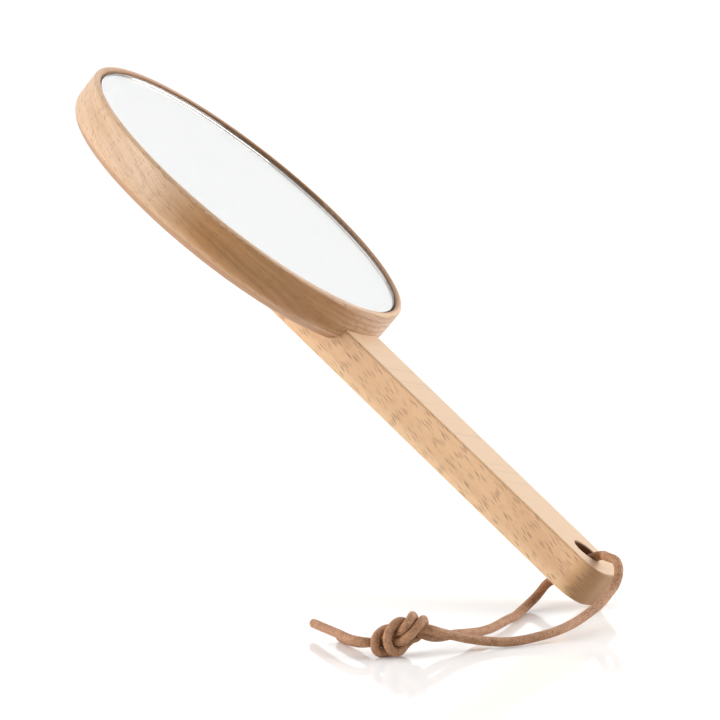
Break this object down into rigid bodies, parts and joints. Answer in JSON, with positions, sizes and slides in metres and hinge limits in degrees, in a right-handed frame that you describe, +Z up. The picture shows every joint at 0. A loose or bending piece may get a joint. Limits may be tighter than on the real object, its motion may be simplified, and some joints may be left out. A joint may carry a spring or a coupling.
{
  "type": "hand mirror",
  "caption": "Round wooden hand mirror: inset glass in a turned head, straight handle housed in its back, knotted leather hanging cord, posed leaning on the handle's end.",
  "frame": {"origin": "middle of the grip, on the handle's own centre line, half way through its thickness, 112 mm from the centre of the round head", "axes": "+Z straight up, +X level from the head towards the handle's free end, +Y level, away from the side the cord trails on. The handle slopes 35 degrees down towards +X and is turned 16.5 degrees about its own length, so that the glass faces up, towards +X and a little towards +Y"},
  "size_m": [0.2061, 0.161, 0.1525],
  "materials": {
    "head_wood": "fine sanded beech, clear satin oil",
    "handle_wood": "fine sanded beech, clear satin oil",
    "screw_brass": "plain",
    "clear_glass": "polished float glass",
    "silvering": "silvered",
    "backing": "matt protective paint",
    "pads": "foam",
    "cord_leather": "raw napped round cord"
  },
  "bodies": {
    "root": {"head_disc": "head_wood", "handle": "handle_wood", "handle_screws": "screw_brass", "mirror_glass": "clear_glass", "silver_coating": "silvering", "backing_paint": "backing", "adhesive_pads": "pads", "cord_front_leg": "cord_leather", "cord_rear_leg": "cord_leather", "cord_knot": "cord_leather", "cord_tail_long": "cord_leather", "cord_tail_short": "cord_leather"}
  },
  "joints": []
}
